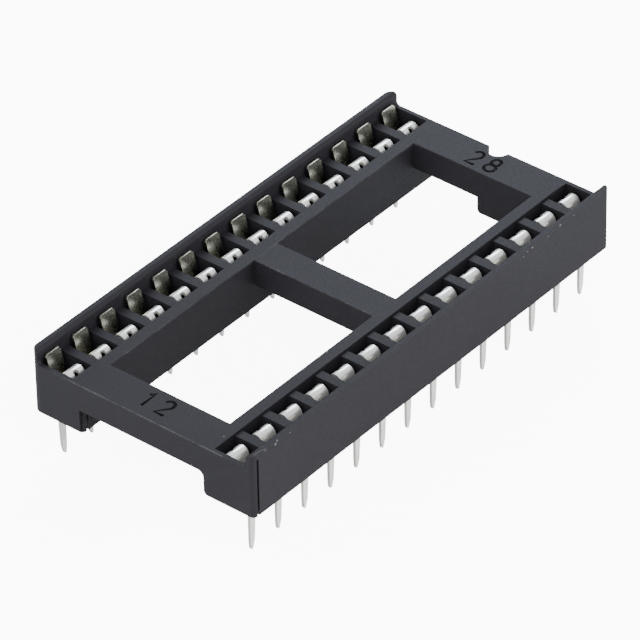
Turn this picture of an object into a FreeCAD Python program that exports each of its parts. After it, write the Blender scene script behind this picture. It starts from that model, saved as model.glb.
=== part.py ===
"""Dual-leaf DIP socket, 28 way: one moulded housing and 28 stamped contacts.

Millimetres. +X runs along the body to the notched end, +Z is up, and the
origin is under the middle of the body at the level of the tail tips.
"""
import FreeCAD, Part
import math
import os
import Sketcher
from FreeCAD import Vector

document = FreeCAD.newDocument("ic_socket")
sheet = document.addObject("Spreadsheet::Sheet", "Dims")

# Driving sizes, one value each.
SIZES = (
    # contact grid
    ("pitch", 2.54),
    ("contacts_per_row", 14),
    ("row_spacing", 15.24),
    # housing block
    ("end_wall", 0.3),
    ("seat_height", 3.6),
    ("deck_thickness", 3.67),
    ("wall_rise", 0.98),
    ("wall_thickness", 0.56),
    ("wall_edge_radius", 0.3),
    ("wall_foot_radius", 0.3),
    ("far_row_corner_radius", 0.66),
    ("near_row_corner_radius", 0.34),
    # cross bars and the open middle
    ("bar_thickness", 1.97),
    ("end_bar_width", 2.8),
    ("middle_bar_width", 2.3),
    ("channel_step", 0.16),
    ("channel_top_radius", 0.45),
    ("channel_foot_radius", 0.3),
    ("foot_start", 0.43),
    ("foot_drop", 1.2),
    ("foot_edge_radius", 0.29),
    # strip along the pockets
    ("rim_width", 0.89),
    ("rib_drop", 0.15),
    # contact pockets, measured from the row's centre line across the body
    ("pocket_outset", 0.72),
    ("pocket_inset", 1.97),
    ("leaf_gap", 0.295),
    ("floor_thickness", 1.0),
    ("tail_gap", 0.12),
    # notch and corner groove
    ("notch_radius", 0.75),
    ("groove_width", 0.17),
    ("groove_depth", 0.35),
    ("groove_offset", 0.36),
    ("groove_top_gap", 0.38),
    # contact strip
    ("strip_thickness", 0.2),
    ("leaf_width", 1.29),
    ("tail_width", 0.5),
    ("tail_tip_half_width", 0.1),
    ("tail_tip_shift", 0.1),
    ("tail_taper", 2.2),
    ("tail_point", 0.6),
    ("blade_top_gap", 0.54),
    ("blade_bend_height", 1.0),
    ("blade_gap", 0.044),
    ("blade_corner", 0.14),
    ("roll_radius", 0.38),
    ("roll_gap", 0.41),
    ("roll_drop", 0.26),
    ("finger_length", 0.5),
    ("leaf_lean", 15.0),
    ("knee_height", 0.95),
    ("leaf_foot_inset", 0.75),
    ("slot_width", 0.42),
    ("slot_inset", 0.13),
)


class Size:
    """A length together with the text that binds it to the sheet."""

    def __init__(self, number, text):
        self.number = float(number)
        self.text = text

    def __add__(self, other):
        return Size(self.number + other.number, "(%s + %s)" % (self.text, other.text))

    def __sub__(self, other):
        return Size(self.number - other.number, "(%s - %s)" % (self.text, other.text))

    def __neg__(self):
        return Size(-self.number, "-1 * %s" % self.text)

    def __mul__(self, factor):
        return Size(self.number * factor, "%s * %.6g" % (self.text, factor))

    def __truediv__(self, factor):
        return Size(self.number / factor, "%s / %.6g" % (self.text, factor))

    def times(self, other):
        return Size(self.number * other.number, "%s * %s" % (self.text, other.text))

    def over(self, other):
        return Size(self.number / other.number, "%s / (%s)" % (self.text, other.text))


def sine(angle):
    return Size(math.sin(math.radians(angle.number)), "sin(%s * 1 deg)" % angle.text)


def cosine(angle):
    return Size(math.cos(math.radians(angle.number)), "cos(%s * 1 deg)" % angle.text)


def tangent(angle):
    return Size(math.tan(math.radians(angle.number)), "tan(%s * 1 deg)" % angle.text)


def stretch(run, rise):
    """How much wider a strip measures across where it leans by run over rise."""
    ratio = run.over(rise)
    return Size(math.sqrt(1 + ratio.number ** 2), "sqrt(1 + (%s) ^ 2)" % ratio.text)


size = {}
for row, (name, number) in enumerate(SIZES, 1):
    sheet.set("A%d" % row, name)
    sheet.set("B%d" % row, str(number))
    sheet.setAlias("B%d" % row, name)
    size[name] = Size(number, "Dims." + name)
document.recompute()

ZERO = Size(0, "0")
CLEAR = Size(1, "1")


def plane(body, role):
    for feature in body.Origin.OriginFeatures:
        if feature.Role == role:
            return feature
    raise ValueError("no plane " + role)


def new_sketch(body, name, role, offset=ZERO):
    """A sketch on a plane of the body's own origin, moved along the plane's normal."""
    sketch = body.newObject("Sketcher::SketchObject", name)
    sketch.AttachmentSupport = [(plane(body, role), "")]
    sketch.MapMode = "FlatFace"
    sketch.AttachmentOffset = FreeCAD.Placement(Vector(0, 0, offset.number), FreeCAD.Rotation())
    sketch.setExpression("AttachmentOffset.Base.z", offset.text)
    return sketch


def pin(sketch, geometry, end, point):
    """Hold one end of a line or arc at a bound place."""
    for kind, value in (("DistanceX", point[0]), ("DistanceY", point[1])):
        sketch.addConstraint(Sketcher.Constraint(kind, -1, 1, geometry, end, value.number))
        sketch.setExpression("Constraints[%d]" % (sketch.ConstraintCount - 1), value.text)


def arc_between(start, stop, radius, side):
    """An arc from start to stop; side +1 turns left on the way, -1 turns right."""
    p = Vector(start[0].number, start[1].number, 0)
    q = Vector(stop[0].number, stop[1].number, 0)
    chord = q - p
    normal = Vector(-chord.y, chord.x, 0)
    normal.normalize()
    reach = math.sqrt(max(radius.number ** 2 - (chord.Length / 2) ** 2, 0))
    centre = (p + q) * 0.5 + normal * (reach * side)
    first = math.atan2(p.y - centre.y, p.x - centre.x)
    last = math.atan2(q.y - centre.y, q.x - centre.x)
    circle = Part.Circle(centre, Vector(0, 0, 1), radius.number)
    if side < 0:
        first, last = last, first
    if last < first:
        last += 2 * math.pi
    return Part.ArcOfCircle(circle, first, last)


def trace(sketch, corners, closed=True):
    """Draw a run of lines and arcs through bound corners.

    Each corner is (x, y) for a line to the next one, or (x, y, radius, side)
    for an arc to the next one.
    """
    count = len(corners) if closed else len(corners) - 1
    ends = []
    for index in range(count):
        here = corners[index]
        there = corners[(index + 1) % len(corners)]
        if len(here) == 2:
            start = Vector(here[0].number, here[1].number, 0)
            stop = Vector(there[0].number, there[1].number, 0)
            geometry = sketch.addGeometry(Part.LineSegment(start, stop))
            ends.append((geometry, 1, 2))
            continue
        geometry = sketch.addGeometry(arc_between(here, there, here[2], here[3]))
        sketch.addConstraint(Sketcher.Constraint("Radius", geometry, here[2].number))
        sketch.setExpression("Constraints[%d]" % (sketch.ConstraintCount - 1), here[2].text)
        ends.append((geometry, 1, 2) if here[3] > 0 else (geometry, 2, 1))
    for index, (geometry, start, stop) in enumerate(ends):
        if closed or index:
            before = ends[index - 1]
            sketch.addConstraint(Sketcher.Constraint("Coincident", before[0], before[2], geometry, start))
        pin(sketch, geometry, start, corners[index])
    return sketch


def box(sketch, x_low, x_high, y_low, y_high):
    return trace(sketch, [(x_low, y_low), (x_high, y_low), (x_high, y_high), (x_low, y_high)])


def pad(body, sketch, name, length, both_ways=False):
    feature = body.newObject("PartDesign::Pad", name)
    feature.Profile = sketch
    feature.Length = length.number
    feature.setExpression("Length", length.text)
    if both_ways:
        feature.SideType = "Symmetric"
    document.recompute()
    return feature


def pocket(body, sketch, name, depth=None, upward=False):
    """Cut the sketch away; with no depth the cut runs through both ways."""
    before = body.Shape.Volume
    feature = body.newObject("PartDesign::Pocket", name)
    feature.Profile = sketch
    if depth is None:
        feature.SideType = "Symmetric"
        feature.Type = "ThroughAll"
    else:
        feature.Length = depth.number
        feature.setExpression("Length", depth.text)
        feature.Reversed = upward
    document.recompute()
    if body.Shape.Volume > before - 1e-4:
        raise ValueError(name + " cuts nothing")
    return feature


# The body is as long and as wide as its rows of contacts ask for.
half_row = size["row_spacing"] / 2
last_contact = (size["pitch"] * 0.5).times(size["contacts_per_row"] - Size(1, "1"))
first_contact = -last_contact
half_pocket = size["leaf_width"] / 2 + size["leaf_gap"]
half_length = last_contact + half_pocket + size["end_wall"]
wall_inner = half_row + size["pocket_outset"]
half_width = wall_inner + size["wall_thickness"]
pocket_inner = half_row - size["pocket_inset"]
window_side = pocket_inner - size["rim_width"]
window_end = half_length - size["end_bar_width"]
seat = size["seat_height"]
deck = seat + size["deck_thickness"]
wall_top = deck + size["wall_rise"]
bar_bottom = deck - size["bar_thickness"]
floor = seat + size["floor_thickness"]
thickness = size["strip_thickness"]


def rounded_plan(sketch):
    """The plan of the housing, tighter corners on the near row than on the far row."""
    big = size["far_row_corner_radius"]
    small = size["near_row_corner_radius"]
    return trace(sketch, [
        (-half_length + small, -half_width),
        (half_length - small, -half_width, small, 1),
        (half_length, -half_width + small),
        (half_length, half_width - big, big, 1),
        (half_length - big, half_width),
        (-half_length + big, half_width, big, 1),
        (-half_length, half_width - big),
        (-half_length, -half_width + small, small, 1),
    ])


def build_housing():
    body = document.addObject("PartDesign::Body", "Housing")
    body.Label = "housing"
    plan = rounded_plan(new_sketch(body, "Plan", "XY_Plane", seat))
    pad(body, plan, "Block", size["deck_thickness"] + size["wall_rise"])

    # The deck between the side walls, with the walls' rounded upper edge and foot.
    edge = size["wall_edge_radius"]
    foot = size["wall_foot_radius"]
    above = wall_top + CLEAR
    trough = trace(new_sketch(body, "TroughSection", "YZ_Plane"), [
        (-wall_inner - edge, above),
        (-wall_inner - edge, wall_top, edge, -1),
        (-wall_inner, wall_top - edge),
        (-wall_inner, deck + foot, foot, 1),
        (-wall_inner + foot, deck),
        (wall_inner - foot, deck, foot, 1),
        (wall_inner, deck + foot),
        (wall_inner, wall_top - edge, edge, -1),
        (wall_inner + edge, wall_top),
        (wall_inner + edge, above),
    ])
    pocket(body, trough, "Trough")

    # The channel under the cross bars: flush with the windows on the far side, and
    # with a rounded top and foot on the near side.
    channel_side = window_side + size["channel_step"]
    top_round = size["channel_top_radius"]
    foot_round = size["channel_foot_radius"]
    below = seat - CLEAR
    channel = trace(new_sketch(body, "ChannelSection", "YZ_Plane", window_end), [
        (-channel_side - foot_round, below),
        (window_side, below),
        (window_side, bar_bottom),
        (-channel_side + top_round, bar_bottom, top_round, 1),
        (-channel_side, bar_bottom - top_round),
        (-channel_side, seat + foot_round, foot_round, -1),
        (-channel_side - foot_round, seat),
    ])
    pocket(body, channel, "Channel", window_end + half_length + CLEAR)

    # Under the notched end bar the channel is shallower on the near side.
    foot_bottom = bar_bottom - size["foot_drop"]
    step = size["foot_edge_radius"]
    far_channel = trace(new_sketch(body, "FarChannelSection", "YZ_Plane", window_end), [
        (-channel_side - foot_round, below),
        (window_side, below),
        (window_side, bar_bottom),
        (-size["foot_start"], bar_bottom),
        (-size["foot_start"], foot_bottom + step, step, -1),
        (-size["foot_start"] - step, foot_bottom),
        (-channel_side, foot_bottom),
        (-channel_side, seat + foot_round, foot_round, -1),
        (-channel_side - foot_round, seat),
    ])
    pocket(body, far_channel, "FarChannel", size["end_bar_width"] + CLEAR, upward=True)

    # Two windows either side of the middle bar.
    windows = new_sketch(body, "WindowPlan", "XY_Plane", deck)
    half_middle = size["middle_bar_width"] / 2
    box(windows, -window_end, -half_middle, -window_side, window_side)
    box(windows, half_middle, window_end, -window_side, window_side)
    pocket(body, windows, "Windows", size["deck_thickness"] + CLEAR)

    # The ribs between the pockets lie a little below the rim and the end bars, and the
    # wall comes down to them without the rounded foot that it has at the two ends.
    strip_end = half_length - size["end_wall"]
    strips = new_sketch(body, "RibStripPlan", "XY_Plane", deck + foot)
    box(strips, -strip_end, strip_end, pocket_inner, wall_inner)
    box(strips, -strip_end, strip_end, -wall_inner, -pocket_inner)
    pocket(body, strips, "RibStrips", foot + size["rib_drop"])

    # One pocket in each row and the slot in its floor, repeated along the rows.
    rib_top = deck - size["rib_drop"]
    cells = new_sketch(body, "PocketPlan", "XY_Plane", rib_top)
    box(cells, first_contact - half_pocket, first_contact + half_pocket, pocket_inner, wall_inner)
    box(cells, first_contact - half_pocket, first_contact + half_pocket, -wall_inner, -pocket_inner)
    cell_cut = pocket(body, cells, "Pockets", rib_top - floor)
    half_slot = size["tail_width"] / 2 + size["tail_gap"]
    slot_side = thickness / 2 + size["tail_gap"]
    slots = new_sketch(body, "TailSlotPlan", "XY_Plane", floor)
    for side in (half_row, -half_row):
        box(slots, first_contact - half_slot, first_contact + half_slot, side - slot_side, side + slot_side)
    slot_cut = pocket(body, slots, "TailSlots", size["floor_thickness"])
    before = body.Shape.Volume
    rows = body.newObject("PartDesign::LinearPattern", "ContactRows")
    rows.Originals = [cell_cut, slot_cut]
    rows.Direction = (slots, ["H_Axis"])
    rows.Mode = "Spacing"
    rows.Offset = size["pitch"].number
    rows.setExpression("Offset", "Dims.pitch")
    rows.Occurrences = int(size["contacts_per_row"].number)
    rows.setExpression("Occurrences", "Dims.contacts_per_row")
    body.Tip = rows
    document.recompute()
    if body.Shape.Volume > before - 1:
        raise ValueError("the pocket pattern cuts nothing")

    # Half-round notch that marks contact one's end.
    notch = new_sketch(body, "NotchPlan", "XY_Plane", deck)
    trace(notch, [
        (half_length, size["notch_radius"], size["notch_radius"], 1),
        (half_length - size["notch_radius"], ZERO, size["notch_radius"], 1),
        (half_length, -size["notch_radius"]),
        (half_length + CLEAR, -size["notch_radius"]),
        (half_length + CLEAR, size["notch_radius"]),
    ])
    pocket(body, notch, "Notch", size["bar_thickness"] + CLEAR)

    # Upright groove beside one corner of each row, in the side face and in the leg.
    groove_start = -half_length + size["groove_offset"]
    groove_end = groove_start + size["groove_width"]
    groove = new_sketch(body, "GroovePlan", "XY_Plane", wall_top - size["groove_top_gap"])
    box(groove, groove_start, groove_end, -half_width - CLEAR, -half_width + size["groove_depth"])
    pocket(body, groove, "Groove", wall_top - seat)
    leg_groove = new_sketch(body, "LegGroovePlan", "XY_Plane", bar_bottom)
    box(leg_groove, groove_start, groove_end, ZERO, window_side + size["groove_depth"])
    pocket(body, leg_groove, "LegGroove", bar_bottom - seat)
    leg_corner = new_sketch(body, "LegCornerPlan", "XY_Plane", bar_bottom)
    small = size["near_row_corner_radius"]
    trace(leg_corner, [
        (-half_length, window_side + small, small, 1),
        (-half_length + small, window_side),
        (-half_length - CLEAR, window_side),
        (-half_length - CLEAR, window_side + small),
    ])
    pocket(body, leg_corner, "LegCorner", bar_bottom - seat)
    return body


def build_contact(number, along, across, turn):
    """One stamped strip: tail, base, leaning outer blade and rolled inner leaf."""
    body = document.addObject("PartDesign::Body", "Contact%02d" % number)
    body.Label = "contact_%02d" % number

    # Tail, narrow and pointed, up to the base in the pocket.
    half_tail = size["tail_width"] / 2
    tip = size["tail_tip_half_width"]
    tip_centre = size["tail_tip_shift"]
    base_top = floor + thickness
    tail = trace(new_sketch(body, "TailFace%02d" % number, "XZ_Plane"), [
        (tip_centre - tip, tip),
        (tip_centre - tip / 2, ZERO),
        (tip_centre + tip / 2, ZERO),
        (tip_centre + tip, tip),
        (half_tail, size["tail_point"]),
        (half_tail, base_top),
        (-half_tail, base_top),
        (-half_tail, size["tail_taper"]),
        (-half_tail + tip, size["tail_point"]),
    ])
    pad(body, tail, "Tail%02d" % number, thickness, both_ways=True)

    # One strip bent through a U: the outer blade leans towards the side wall, and the
    # inner leaf bulges at the knee, then rolls over and comes down on its inner side.
    half_thick = thickness / 2
    blade_top = wall_top - size["blade_top_gap"]
    bend = floor + size["blade_bend_height"]
    blade_out = size["pocket_outset"] - size["blade_gap"]
    blade_in = blade_out - thickness.times(stretch(blade_out - half_thick, blade_top - bend))
    slope = size["leaf_lean"]
    outer = size["roll_radius"] + half_thick
    inner = size["roll_radius"] - half_thick
    roll_y = -(size["pocket_inset"] - size["roll_gap"] - outer)
    roll_z = deck - size["roll_drop"] - outer
    knee_z = floor + size["knee_height"]
    finger_end = roll_z - size["finger_length"]
    foot_half = half_thick.over(cosine(slope))
    outer_off = (roll_y + outer.times(cosine(slope)), roll_z + outer.times(sine(slope)))
    inner_off = (roll_y + inner.times(cosine(slope)), roll_z + inner.times(sine(slope)))
    strip = trace(new_sketch(body, "StripSection%02d" % number, "YZ_Plane"), [
        (blade_out, blade_top),
        (blade_in, blade_top),
        (-half_thick, bend),
        (-half_thick, base_top),
        (-size["leaf_foot_inset"] + foot_half, base_top),
        (outer_off[0] + (outer_off[1] - knee_z).times(tangent(slope)), knee_z),
        (outer_off[0], outer_off[1], outer, 1),
        (roll_y - outer, roll_z),
        (roll_y - outer, finger_end),
        (roll_y - inner, finger_end),
        (roll_y - inner, roll_z, inner, -1),
        inner_off,
        (inner_off[0] + (inner_off[1] - knee_z).times(tangent(slope)), knee_z),
        (-size["leaf_foot_inset"] - foot_half, floor),
        (half_thick, floor),
        (half_thick, bend),
    ])
    bent = pad(body, strip, "Strip%02d" % number, size["leaf_width"], both_ways=True)
    corners = []
    for index, edge in enumerate(body.Shape.Edges, 1):
        ends = [vertex.Point for vertex in edge.Vertexes]
        at_top = min(point.z for point in ends) > blade_top.number - 1e-4
        if at_top and abs(ends[0].x - ends[-1].x) < 1e-6:
            corners.append("Edge%d" % index)
    trimmed = body.newObject("PartDesign::Chamfer", "BladeCorners%02d" % number)
    trimmed.Base = (bent, corners)
    trimmed.Size = size["blade_corner"].number
    trimmed.setExpression("Size", "Dims.blade_corner")
    document.recompute()

    # Slot with a rounded end that splits the inner side of the roll into two fingers.
    half_slot = size["slot_width"] / 2
    slot_end = roll_y - size["slot_inset"]
    slot = new_sketch(body, "SlotPlan%02d" % number, "XY_Plane", roll_z + outer + thickness)
    trace(slot, [
        (half_slot, slot_end - half_slot / 2),
        (half_slot / 2, slot_end),
        (-half_slot / 2, slot_end),
        (-half_slot, slot_end - half_slot / 2),
        (-half_slot, roll_y - outer - thickness),
        (half_slot, roll_y - outer - thickness),
    ])
    pocket(body, slot, "Slot%02d" % number, outer + size["finger_length"] + thickness * 2)
    body.Placement = FreeCAD.Placement(
        Vector(along.number, across.number, 0), FreeCAD.Rotation(Vector(0, 0, 1), turn))
    body.setExpression("Placement.Base.x", along.text)
    body.setExpression("Placement.Base.y", across.text)
    return body


pieces = [build_housing()]
per_row = int(size["contacts_per_row"].number)
for number in range(1, 2 * per_row + 1):
    # Numbered from the notched end down the far row and back up the near row.
    if number <= per_row:
        step = Size(per_row - number, "%d" % (per_row - number))
        place = first_contact + size["pitch"].times(step)
        pieces.append(build_contact(number, place, half_row, 0))
    else:
        step = Size(number - per_row - 1, "%d" % (number - per_row - 1))
        place = first_contact + size["pitch"].times(step)
        pieces.append(build_contact(number, place, -half_row, 180))

document.recompute()
for item in document.Objects:
    if "Invalid" in item.State or "Error" in item.State:
        raise ValueError("%s failed: %s" % (item.Name, item.State))
for piece in pieces:
    if piece.Shape.isNull() or not piece.Shape.isValid() or len(piece.Shape.Solids) != 1:
        raise ValueError("%s is not one valid solid" % piece.Label)

os.makedirs("parts", exist_ok=True)
for piece in pieces:
    piece.Shape.exportStep("parts/%s.step" % piece.Label)
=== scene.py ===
import math

import bmesh
import bpy
from bpy.props import FloatProperty, FloatVectorProperty, PointerProperty
from mathutils import Matrix, Vector


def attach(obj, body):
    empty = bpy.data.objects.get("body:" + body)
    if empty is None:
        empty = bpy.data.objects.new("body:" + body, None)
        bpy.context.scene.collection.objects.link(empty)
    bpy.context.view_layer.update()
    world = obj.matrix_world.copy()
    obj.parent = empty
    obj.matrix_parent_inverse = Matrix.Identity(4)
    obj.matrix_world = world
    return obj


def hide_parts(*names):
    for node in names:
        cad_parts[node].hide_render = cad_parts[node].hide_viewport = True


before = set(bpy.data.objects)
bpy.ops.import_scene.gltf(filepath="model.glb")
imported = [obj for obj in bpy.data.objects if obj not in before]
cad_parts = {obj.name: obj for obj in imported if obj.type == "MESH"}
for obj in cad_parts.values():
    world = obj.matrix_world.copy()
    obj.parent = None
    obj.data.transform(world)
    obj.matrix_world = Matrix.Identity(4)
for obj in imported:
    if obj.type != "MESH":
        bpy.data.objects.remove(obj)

bl_info = {
    "name": "IC Socket",
    "version": (1, 0, 0),
    "blender": (4, 2, 0),
    "location": "View3D > Sidebar > Socket",
    "description": "Moulded housing, plated contacts and a plain studio for a dual in-line socket",
    "category": "Object",
}

MM = 0.001

# Engraved numbers and the corner each starts from, in millimetres.
NUMBERS = (
    ("28", (15.42, 1.05, 7.27)),
    ("12", (-16.92, 1.1, 7.27)),
)

# Pale flakes on the moulding: place and radius in millimetres.
SPECKS = (
    ((-15.6, -8.9, 8.02), 0.1),
    ((-15.42, -8.9, 8.2), 0.08),
    ((-14.22, -8.9, 8.07), 0.05),
    ((8.82, -8.9, 7.88), 0.05),
    ((9.23, -8.9, 8.06), 0.06),
    ((9.74, -8.9, 8.08), 0.09),
    ((11.38, -8.9, 8.01), 0.05),
    ((12.61, -8.9, 8.16), 0.08),
    ((14.03, -8.9, 8.12), 0.05),
    ((-16.2, -5.33, 7.27), 0.06),
)

# Rubbed arcs on the near corner of the wall: centre and radius of the arc, then its middle
# and how far it reaches from there, in millimetres.
SCUFFS = (
    ((-16.96, -9.11, 8.25), 0.72, (-16.8, -8.43, 8.25), 0.5),
    ((-17.16, -10.1, 8.25), 1.35, (-16.95, -8.8, 8.2), 0.6),
)

# The heights between which the rubbed arcs fade in, in millimetres.
SCUFF_HEIGHTS = (8.06, 8.14)

# Edges lightened partly by real rubbing and partly by a painted highlight along their rounding: a point of
# the edge with nought along it, the axes across it, the middle of the lightened stretch and how far that
# reaches, in millimetres, and how strongly it is lightened.
WORN_AND_HIGHLIT_EDGES = (
    ((-17.75, 0.0, 7.27), (1.0, 0.0, 1.0), (-17.75, 0.1, 7.27), 7.0, 0.75),
    ((-1.15, 0.0, 7.27), (1.0, 0.0, 1.0), (-1.15, 0.0, 7.27), 5.0, 0.55),
    ((0.0, 4.76, 7.27), (0.0, 1.0, 1.0), (0.0, 4.76, 7.27), 15.5, 0.35),
    ((-17.75, 8.9, 0.0), (1.0, 1.0, 0.0), (-17.75, 8.9, 6.0), 3.0, 0.5),
)

# The outer leaf, which is given painted shade, begins between these distances from the middle plane and
# these heights, in millimetres.
SHADED_LEAF_OUTWARD = (7.25, 7.5)
SHADED_LEAF_UPWARD = (3.6, 4.0)

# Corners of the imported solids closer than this, in metres, are one corner.
WELD = 1e-7

# Faces that meet at less than this many degrees are one flat face.
FLAT = 0.5

# Edges that turn by more than this many degrees are rounded.
ROUNDED_TURN = 28.0

# Straight edges of the moulding are rounded when they are longer than this, in millimetres.
LONG_EDGE = 3.0

# Shading stays smooth over edges that turn by less than this many degrees.
HOUSING_CREASE = 32.0
CONTACT_CREASE = 42.0

# Lights that face the middle of the object: name, place, width in metres, power in watts and colour.
LIGHTS = (
    ("front_light", (-0.15, -0.18, 0.235), 0.14, 0.7, (1.0, 1.0, 1.0)),
    ("key_light", (-0.3, 0.02, 0.08), 0.16, 0.75, (1.0, 1.0, 1.0)),
    ("fill_light", (0.1, -0.3, 0.08), 0.2, 1.25, (1.0, 1.0, 1.0)),
    ("back_light", (0.09, 0.062, 0.079), 0.06, 0.11, (0.8, 0.88, 1.0)),
)

SKY_COLOUR = (0.93, 0.97, 1.0, 1.0)
SKY_STRENGTH = 1.2
BACKDROP_GLOW = 9.0
FLOOR_REACH = 1.0

# The camera: lens and sensor in millimetres, its turn in degrees, its aim and distance in millimetres.
LENS = 342.511
SENSOR = 36.0
AZIMUTH = -50.19483
ELEVATION = 36.76971
ROLL = -1.11478
AIM = (1.06027, 1.31292, 2.83077)
DISTANCE = 384.6114


class SocketSizes(bpy.types.PropertyGroup):
    """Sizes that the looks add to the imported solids."""

    housing_edge: FloatProperty(
        name="Housing edge", description="Rounding of the moulding's long straight edges",
        default=0.05 * MM, unit="LENGTH", precision=6)
    strip_edge: FloatProperty(
        name="Strip edge", description="Rounding of the stamped strip's edges",
        default=0.022 * MM, unit="LENGTH", precision=6)
    seat: FloatProperty(
        name="Seat", description="Height of the housing's underside over the tails' tips",
        default=3.6 * MM, unit="LENGTH", precision=6)
    digit_height: FloatProperty(
        name="Digit height", description="Height of the engraved numbers",
        default=1.44 * MM, unit="LENGTH", precision=6)
    digit_width: FloatProperty(
        name="Digit width", description="Width of one engraved digit",
        default=0.86 * MM, unit="LENGTH", precision=6)
    digit_advance: FloatProperty(
        name="Digit advance", description="Distance from one digit to the next",
        default=1.42 * MM, unit="LENGTH", precision=6)
    digit_stroke: FloatProperty(
        name="Digit stroke", description="Half the width of an engraved line",
        default=0.115 * MM, unit="LENGTH", precision=6)
    digit_depth: FloatProperty(
        name="Digit depth", description="Depth of an engraved line",
        default=0.2 * MM, unit="LENGTH", precision=6)


class SocketColours(bpy.types.PropertyGroup):
    """Colours of the two materials and the floor."""

    plastic: FloatVectorProperty(
        name="Plastic", description="Moulded plastic", subtype="COLOR", size=3,
        min=0, max=1, default=(0.0104, 0.0097, 0.0121))
    # Partly real wear, partly painted highlight: the paler plastic laid along the rounded straight edges.
    worn_and_highlight: FloatVectorProperty(
        name="Worn plastic", description="Moulded plastic on the rubbed edges", subtype="COLOR", size=3,
        min=0, max=1, default=(0.048, 0.047, 0.052))
    speck: FloatVectorProperty(
        name="Speck", description="Pale flakes left on the moulding", subtype="COLOR", size=3,
        min=0, max=1, default=(0.12, 0.12, 0.12))
    plating: FloatVectorProperty(
        name="Plating", description="Tin plate", subtype="COLOR", size=3,
        min=0, max=1, default=(0.84, 0.83, 0.79))
    # Painted shade: a darker, yellowish copy of the tin plate for the outer leaf.
    outer_leaf_shade: FloatVectorProperty(
        name="Outer leaf", description="Slightly tarnished tin on the outer leaf", subtype="COLOR", size=3,
        min=0, max=1, default=(0.3, 0.3, 0.25))
    sheared: FloatVectorProperty(
        name="Sheared edge", description="Strip cut through below the seat", subtype="COLOR", size=3,
        min=0, max=1, default=(0.5, 0.49, 0.46))
    floor: FloatVectorProperty(
        name="Floor", description="Floor and backdrop", subtype="COLOR", size=3,
        min=0, max=1, default=(0.93, 0.93, 0.93))


class Value:
    """A shader value that can be added, subtracted and multiplied."""

    def __init__(self, tree, socket):
        self.tree = tree
        self.socket = socket

    def __add__(self, other):
        return self.tree.node("ShaderNodeMath", "Value", (self, other), operation="ADD")

    def __mul__(self, other):
        return self.tree.node("ShaderNodeMath", "Value", (self, other), operation="MULTIPLY")

    def __sub__(self, other):
        return self.tree.node("ShaderNodeMath", "Value", (self, other), operation="SUBTRACT")

    def __rsub__(self, other):
        return self.tree.node("ShaderNodeMath", "Value", (other, self), operation="SUBTRACT")

    __radd__ = __add__
    __rmul__ = __mul__


def shade(colour, factor):
    return tuple(channel * factor for channel in colour)


def with_alpha(colour):
    return colour if isinstance(colour, Value) else tuple(colour)[:3] + (1.0,)


class Finish:
    """A material's node tree."""

    def __init__(self, name):
        self.material = bpy.data.materials.new(name)
        self.material.use_nodes = True
        self.nodes = self.material.node_tree.nodes
        self.links = self.material.node_tree.links
        self.shader = self.nodes["Principled BSDF"]
        self.place = self.node("ShaderNodeTexCoord", "Object")

    def node(self, kind, output, inputs=(), **settings):
        """Make one node, feed its inputs by place or name, and give one of its outputs."""
        made = self.nodes.new(kind)
        for key, value in settings.items():
            setattr(made, key, value)
        pairs = inputs.items() if isinstance(inputs, dict) else enumerate(inputs)
        for key, value in pairs:
            self.give(made.inputs[key], value)
        return Value(self, made.outputs[output])

    def give(self, socket, value):
        """Link a shader value to a socket, or set the socket to a plain one."""
        if isinstance(value, Value):
            self.links.new(value.socket, socket)
        else:
            socket.default_value = value

    def noise(self, x, y=None, z=None, detail=3.0):
        """Noise with so many cells to the millimetre along each axis."""
        cells = (x, x if y is None else y, x if z is None else z)
        vector = self.node("ShaderNodeMapping", "Vector", {
            "Vector": self.place, "Scale": tuple(cell / MM for cell in cells)})
        return self.node("ShaderNodeTexNoise", 0, {
            "Vector": vector, "Scale": 1.0, "Detail": detail, "Roughness": 0.55})

    def distance(self, spot, place=None):
        """How far a place, or else the shaded point, lies from a spot given in millimetres."""
        ends = (place or self.place, tuple(part * MM for part in spot))
        return self.node("ShaderNodeVectorMath", "Value", ends, operation="DISTANCE")

    def beside(self, spot, across):
        """How far the shaded point lies from a line through a spot, along the axes across the line."""
        flat = self.node("ShaderNodeVectorMath", "Vector", (self.place, across), operation="MULTIPLY")
        return self.distance(spot, flat)

    def absolute(self, value):
        return self.node("ShaderNodeMath", "Value", (value,), operation="ABSOLUTE")

    def off_centre(self):
        """How far the shaded point lies to either side of the middle plane."""
        return self.absolute(self.node("ShaderNodeSeparateXYZ", "Y", (self.place,)))

    def height(self):
        return self.node("ShaderNodeSeparateXYZ", "Z", (self.place,))

    def between(self, value, low, high, out_low=0.0, out_high=1.0):
        """Carry the range from low to high over to the range from out_low to out_high."""
        return self.node("ShaderNodeMapRange", "Result", {
            "Value": value, "From Min": low, "From Max": high, "To Min": out_low, "To Max": out_high})

    def fade(self, value, full, gone, strength=1.0):
        """The strength up to one value, and nought from another on."""
        return self.between(value, full, gone, strength, 0.0)

    def mix(self, factor, first, second):
        """Mix two colours, whose sockets are the sixth and seventh of the node and its second output."""
        return self.node("ShaderNodeMix", 2, {
            0: factor, 6: with_alpha(first), 7: with_alpha(second)}, data_type="RGBA")

    def bump(self, height, distance):
        return self.node("ShaderNodeBump", "Normal", {"Height": height, "Distance": distance})

    def feed(self, **inputs):
        """Feed the surface shader and give the material."""
        for key, value in inputs.items():
            self.give(self.shader.inputs[key.replace("_", " ")], value)
        return self.material


def add_flakes(look, colour, pits, flake):
    """Lay the pale flakes over a colour, with rims that the pits make ragged."""
    for spot, radius in SPECKS:
        size = radius * MM
        away = look.distance(spot) + pits * (1.2 * size)
        colour = look.mix(look.fade(away, 1.1 * size, 1.6 * size), colour, flake)
    return colour


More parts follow.
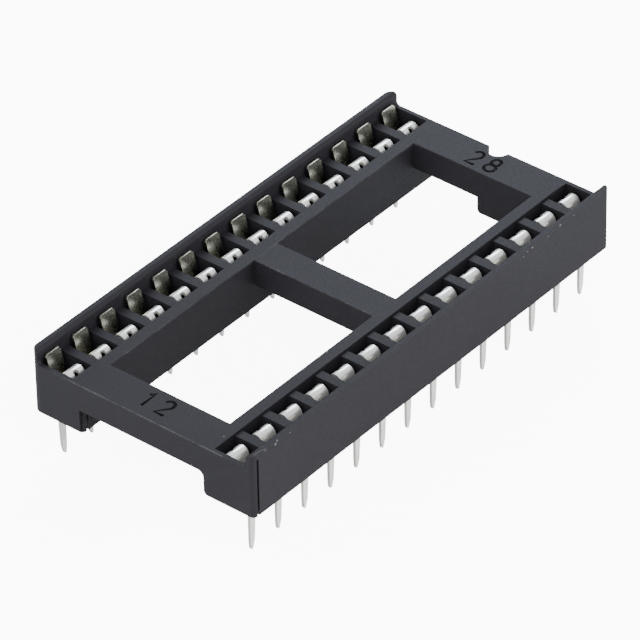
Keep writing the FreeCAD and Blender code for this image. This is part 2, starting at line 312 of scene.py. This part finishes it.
def add_scuffs(look, colour, pale):
    """Lay the rubbed arcs over a colour. They fade at their ends and down the wall."""
    low, high = SCUFF_HEIGHTS
    on_top = look.between(look.height(), low * MM, high * MM)
    for centre, radius, middle, reach in SCUFFS:
        off = look.absolute(look.distance(centre) - radius * MM)
        along = look.fade(look.distance(middle), 0.7 * reach * MM, reach * MM)
        rubbed = look.fade(off, 0.02 * MM, 0.06 * MM, strength=0.7) * along * on_top
        colour = look.mix(rubbed, colour, pale)
    return colour


def add_worn_and_highlit_edges(look, colour, worn_and_highlight, crumb):
    """Lay rubbed patches and pale crumbs over a colour along the straight edges: partly real wear, partly
    painted highlight.
    """
    crumbs = look.noise(4.0, detail=3.0)
    patches = look.between(look.noise(0.9, detail=2.0), 0.42, 0.6, 0.2, 1.0)
    crumbly = look.between(crumbs, 0.58, 0.68, 0.0, 0.8)
    for spot, across, middle, reach, strength in WORN_AND_HIGHLIT_EDGES:
        off = look.beside(spot, across) + crumbs * (0.06 * MM)
        along = look.fade(look.distance(middle), 0.9 * reach * MM, reach * MM)
        # The mask of real wear and painted highlight along each edge.
        rubbed = look.fade(off, 0.05 * MM, 0.13 * MM, strength) * along
        colour = look.mix(rubbed * patches, colour, worn_and_highlight)
        colour = look.mix(rubbed * crumbly, colour, crumb)
    return colour


def plastic_finish(colours):
    """Charcoal moulded plastic with a fine grain, faint flow marks, pale flakes, and edges lightened
    partly by wear and partly by painted highlight.
    """
    look = Finish("moulded_plastic")
    base = tuple(colours.plastic)
    flow = look.noise(0.3, detail=2.0)
    grain = look.noise(7.0, detail=3.0)
    pits = look.noise(16.0, detail=2.0)
    colour = look.mix(look.between(flow, 0.35, 0.65), shade(base, 0.94), shade(base, 1.06))
    colour = look.mix(look.between(grain, 0.4, 0.7, 0.0, 0.3), colour, shade(base, 1.4))
    colour = look.mix(look.between(pits, 0.66, 0.74, 0.0, 0.3), colour, shade(base, 2.0))
    colour = add_flakes(look, colour, pits, colours.speck)
    colour = add_scuffs(look, colour, shade(colours.speck, 0.45))
    # Partly real wear, partly painted highlight along the rounded edges.
    colour = add_worn_and_highlit_edges(look, colour, colours.worn_and_highlight, colours.speck)
    return look.feed(
        Base_Color=colour,
        Roughness=look.between(grain, 0.3, 0.7, 0.5, 0.62),
        Normal=look.bump(grain + pits * 0.5, 0.006 * MM),
        Specular_IOR_Level=0.12)


def plating_finish(colours):
    """Tin plate with fine lines along the strip, bright but for the outer leaf, which is darkened as
    painted shade.
    """
    look = Finish("tin_plate")
    base = tuple(colours.plating)
    cloud = look.noise(0.9, detail=3.0)
    streak = look.noise(14.0, 1.2, 1.2, detail=2.0)
    outward = look.between(look.off_centre(), SHADED_LEAF_OUTWARD[0] * MM, SHADED_LEAF_OUTWARD[1] * MM)
    upward = look.between(look.height(), SHADED_LEAF_UPWARD[0] * MM, SHADED_LEAF_UPWARD[1] * MM)
    # The outer leaf's mask, where the tin gets painted shade.
    leaf = outward * upward
    colour = look.mix(look.between(cloud, 0.4, 0.7), base, shade(base, 0.88))
    return look.feed(
        Base_Color=look.mix(leaf, colour, colours.outer_leaf_shade),
        Metallic=leaf * 0.24 + 0.76,
        Roughness=look.between(cloud + streak * 0.5, 0.5, 1.0, 0.26, 0.36) - leaf * 0.06,
        Normal=look.bump(streak * 0.3 + look.noise(2.0, detail=1.0), 0.001 * MM))


def sheared_finish(colours):
    """The strip's cut sides on the tails, with the drag lines of the punch."""
    look = Finish("sheared_strip")
    base = tuple(colours.sheared)
    drag = look.noise(20.0, 20.0, 1.5, detail=2.0)
    return look.feed(
        Base_Color=look.mix(look.between(drag, 0.35, 0.65), shade(base, 0.8), shade(base, 1.1)),
        Metallic=1.0,
        Roughness=look.between(drag, 0.3, 0.7, 0.35, 0.5),
        Normal=look.bump(drag, 0.002 * MM))


def backdrop_finish(colours):
    """A pale floor that shows white to the camera."""
    look = Finish("floor")
    seen = look.node("ShaderNodeLightPath", "Is Camera Ray")
    return look.feed(
        Base_Color=with_alpha(colours.floor),
        Roughness=0.9,
        Emission_Color=look.mix(seen, (0.0, 0.0, 0.0), (1.0, 1.0, 1.0)),
        Emission_Strength=BACKDROP_GLOW)


def placed(name, data):
    """A new object at the origin of the scene."""
    holder = bpy.data.objects.new(name, data)
    bpy.context.scene.collection.objects.link(holder)
    return holder


def made_mesh(holder):
    """The mesh that an object's curve or modifiers make."""
    bpy.context.view_layer.update()
    return bpy.data.meshes.new_from_object(
        holder.evaluated_get(bpy.context.evaluated_depsgraph_get()))


def apply_modifiers(piece):
    mesh = made_mesh(piece)
    piece.modifiers.clear()
    piece.data = mesh
    mesh.name = piece.name


def arc(centre, radii, first, last, steps=14):
    """Points along an arc of an ellipse, from one angle to another in degrees."""
    turns = [math.radians(first + (last - first) * step / steps) for step in range(steps + 1)]
    return [
        (centre[0] + radii[0] * math.cos(turn), centre[1] + radii[1] * math.sin(turn))
        for turn in turns]


# The centre lines of plain digits in a box one unit wide and one high.
DIGIT_STROKES = {
    "1": [[(0.25, 0.78), (0.55, 1.0), (0.55, 0.0)]],
    "2": [arc((0.48, 0.72), (0.4, 0.28), 165, -25) + [(0.06, 0.02), (0.94, 0.02)]],
    "8": [
        arc((0.5, 0.74), (0.36, 0.25), 0, 360, 24),
        arc((0.5, 0.26), (0.46, 0.27), 0, 360, 24)],
}


def engraving(sizes, text, corner, along, up):
    """Round-bottomed strokes of a number that starts at corner and runs along."""
    curve = bpy.data.curves.new("strokes", "CURVE")
    curve.dimensions = "3D"
    curve.twist_mode = "Z_UP"
    curve.extrude = sizes.digit_depth - sizes.digit_stroke
    curve.bevel_depth = sizes.digit_stroke
    curve.bevel_resolution = 2
    curve.use_fill_caps = True
    for place, digit in enumerate(text):
        for line in DIGIT_STROKES[digit]:
            closed = (Vector(line[0]) - Vector(line[-1])).length < 1e-6
            points = line[:-1] if closed else line
            spline = curve.splines.new("POLY")
            spline.points.add(len(points) - 1)
            spline.use_cyclic_u = closed
            for point, (x, y) in zip(spline.points, points):
                across = along * (sizes.digit_width * x + sizes.digit_advance * place)
                spot = corner + across + up * (sizes.digit_height * y)
                point.co = (spot.x, spot.y, spot.z, 1.0)
    holder = placed("strokes", curve)
    mesh = made_mesh(holder)
    bpy.data.objects.remove(holder)
    return placed("strokes_mesh", mesh)


def engrave(piece, tool):
    """Cut a number's strokes out of a piece."""
    cut = piece.modifiers.new("Number", "BOOLEAN")
    cut.operation = "DIFFERENCE"
    cut.solver = "EXACT"
    cut.use_self = True
    cut.object = tool
    apply_modifiers(piece)
    bpy.data.objects.remove(tool)


def merged_copy(node, name, materials):
    """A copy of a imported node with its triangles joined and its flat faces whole."""
    shape = bmesh.new()
    shape.from_mesh(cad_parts[node].data)
    bmesh.ops.remove_doubles(shape, verts=shape.verts, dist=WELD)
    bmesh.ops.dissolve_limit(
        shape, angle_limit=math.radians(FLAT), verts=shape.verts, edges=shape.edges, delimit=set())
    mesh = bpy.data.meshes.new(name)
    shape.to_mesh(mesh)
    shape.free()
    for material in materials:
        mesh.materials.append(material)
    return placed(name, mesh)


def joined_edges(edges):
    """Sort edges into groups that share corners."""
    left = list(edges)
    groups = []
    while left:
        group = [left.pop(0)]
        for edge in group:
            for corner in edge.verts:
                for other in corner.link_edges:
                    if other in left:
                        left.remove(other)
                        group.append(other)
        groups.append(group)
    return groups


def round_long_edges(piece, width):
    """Round the long straight edges, each run of them as far as its own corners leave room."""
    shape = bmesh.new()
    shape.from_mesh(piece.data)
    long_edges = [
        edge for edge in shape.edges
        if len(edge.link_faces) == 2 and edge.calc_length() > LONG_EDGE * MM
        and edge.calc_face_angle() > math.radians(ROUNDED_TURN)]
    for group in joined_edges(long_edges):
        bmesh.ops.bevel(
            shape, geom=group, offset=width, offset_type="OFFSET", segments=3, profile=0.5,
            affect="EDGES", material=-1, clamp_overlap=True)
    shape.to_mesh(piece.data)
    shape.free()


def round_all_edges(piece, width):
    bevel = piece.modifiers.new("Edges", "BEVEL")
    bevel.width = width
    bevel.segments = 2
    bevel.limit_method = "ANGLE"
    bevel.angle_limit = math.radians(ROUNDED_TURN)
    apply_modifiers(piece)


def finish_piece(piece, node, crease):
    """Shade a piece smooth up to a crease in degrees and put it in the node's place."""
    piece.data.shade_smooth()
    piece.data.set_sharp_from_angle(angle=math.radians(crease))
    weighted = piece.modifiers.new("Shading", "WEIGHTED_NORMAL")
    weighted.keep_sharp = True
    weighted.weight = 80
    apply_modifiers(piece)
    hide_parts(node)
    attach(piece, "root")


def turned_axes(azimuth, elevation, roll):
    """The right, up and backward directions of a camera turned by angles in degrees."""
    azimuth = math.radians(azimuth)
    elevation = math.radians(elevation)
    roll = math.radians(roll)
    back = Vector((
        math.sin(azimuth) * math.cos(elevation),
        -math.cos(azimuth) * math.cos(elevation),
        math.sin(elevation)))
    right = Vector((0, 0, 1)).cross(back).normalized()
    up = back.cross(right)
    turned_right = right * math.cos(roll) + up * math.sin(roll)
    turned_up = up * math.cos(roll) - right * math.sin(roll)
    return turned_right, turned_up, back


class SOCKET_OT_housing(bpy.types.Operator):
    """Engrave the moulding's numbers and round its long edges"""

    bl_idname = "socket.housing"
    bl_label = "Housing"

    def execute(self, context):
        sizes = context.scene.socket_sizes
        piece = merged_copy(
            "housing", "housing_moulding", (plastic_finish(context.scene.socket_colours),))
        for text, corner in NUMBERS:
            engrave(piece, engraving(
                sizes, text, Vector(corner) * MM, Vector((0, -1, 0)), Vector((1, 0, 0))))
        round_long_edges(piece, sizes.housing_edge)
        finish_piece(piece, "housing", HOUSING_CREASE)
        return {"FINISHED"}


class SOCKET_OT_contacts(bpy.types.Operator):
    """Round the stamped strips' edges and plate them"""

    bl_idname = "socket.contacts"
    bl_label = "Contacts"

    def execute(self, context):
        sizes = context.scene.socket_sizes
        colours = context.scene.socket_colours
        materials = (plating_finish(colours), sheared_finish(colours))
        names = sorted(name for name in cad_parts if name.startswith("contact"))
        if not names:
            raise ValueError("the frame has no contacts")
        for name in names:
            piece = merged_copy(name, name + "_plated", materials)
            round_all_edges(piece, sizes.strip_edge)
            for face in piece.data.polygons:
                if abs(face.normal.x) > 0.8 and face.center.z < sizes.seat:
                    face.material_index = 1
            finish_piece(piece, name, CONTACT_CREASE)
        return {"FINISHED"}


class SOCKET_OT_studio(bpy.types.Operator):
    """Add the floor, the lights and the camera"""

    bl_idname = "socket.studio"
    bl_label = "Studio"

    def execute(self, context):
        self.lay_floor(context.scene)
        self.hang_lights(context.scene)
        self.set_camera(context.scene)
        return {"FINISHED"}

    def lay_floor(self, scene):
        shape = bmesh.new()
        bmesh.ops.create_grid(shape, x_segments=1, y_segments=1, size=FLOOR_REACH)
        mesh = bpy.data.meshes.new("floor")
        shape.to_mesh(mesh)
        shape.free()
        mesh.materials.append(backdrop_finish(scene.socket_colours))
        placed("floor", mesh)

    def hang_lights(self, scene):
        world = bpy.data.worlds.new("studio")
        world.use_nodes = True
        sky = world.node_tree.nodes["Background"]
        sky.inputs["Color"].default_value = SKY_COLOUR
        sky.inputs["Strength"].default_value = SKY_STRENGTH
        scene.world = world
        for name, place, width, power, colour in LIGHTS:
            lamp = bpy.data.lights.new(name, "AREA")
            lamp.shape = "SQUARE"
            lamp.size = width
            lamp.energy = power
            lamp.color = colour
            holder = placed(name, lamp)
            holder.location = place
            holder.rotation_mode = "QUATERNION"
            holder.rotation_quaternion = (-Vector(place)).to_track_quat("-Z", "Y")

    def set_camera(self, scene):
        lens = bpy.data.cameras.new("camera")
        lens.sensor_width = SENSOR
        lens.lens = LENS
        lens.clip_start = 0.05
        lens.clip_end = 5.0
        camera = placed("camera", lens)
        right, up, back = turned_axes(AZIMUTH, ELEVATION, ROLL)
        turn = Matrix((right, up, back)).transposed().to_4x4()
        camera.matrix_world = Matrix.Translation((Vector(AIM) + back * DISTANCE) * MM) @ turn
        scene.camera = camera


class SOCKET_PT_panel(bpy.types.Panel):
    bl_label = "IC Socket"
    bl_idname = "SOCKET_PT_panel"
    bl_space_type = "VIEW_3D"
    bl_region_type = "UI"
    bl_category = "Socket"

    def draw(self, context):
        layout = self.layout
        for group in (context.scene.socket_sizes, context.scene.socket_colours):
            column = layout.column()
            for name in group.__annotations__:
                column.prop(group, name)
        for operator in (SOCKET_OT_housing, SOCKET_OT_contacts, SOCKET_OT_studio):
            layout.operator(operator.bl_idname)


CLASSES = (
    SocketSizes, SocketColours, SOCKET_OT_housing, SOCKET_OT_contacts, SOCKET_OT_studio, SOCKET_PT_panel)


def register():
    for item in CLASSES:
        bpy.utils.register_class(item)
    bpy.types.Scene.socket_sizes = PointerProperty(type=SocketSizes)
    bpy.types.Scene.socket_colours = PointerProperty(type=SocketColours)


def unregister():
    del bpy.types.Scene.socket_colours
    del bpy.types.Scene.socket_sizes
    for item in reversed(CLASSES):
        bpy.utils.unregister_class(item)


def main():
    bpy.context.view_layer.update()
    register()
    bpy.ops.socket.housing()
    bpy.ops.socket.contacts()
    bpy.ops.socket.studio()


if __name__ == "__main__":
    main()
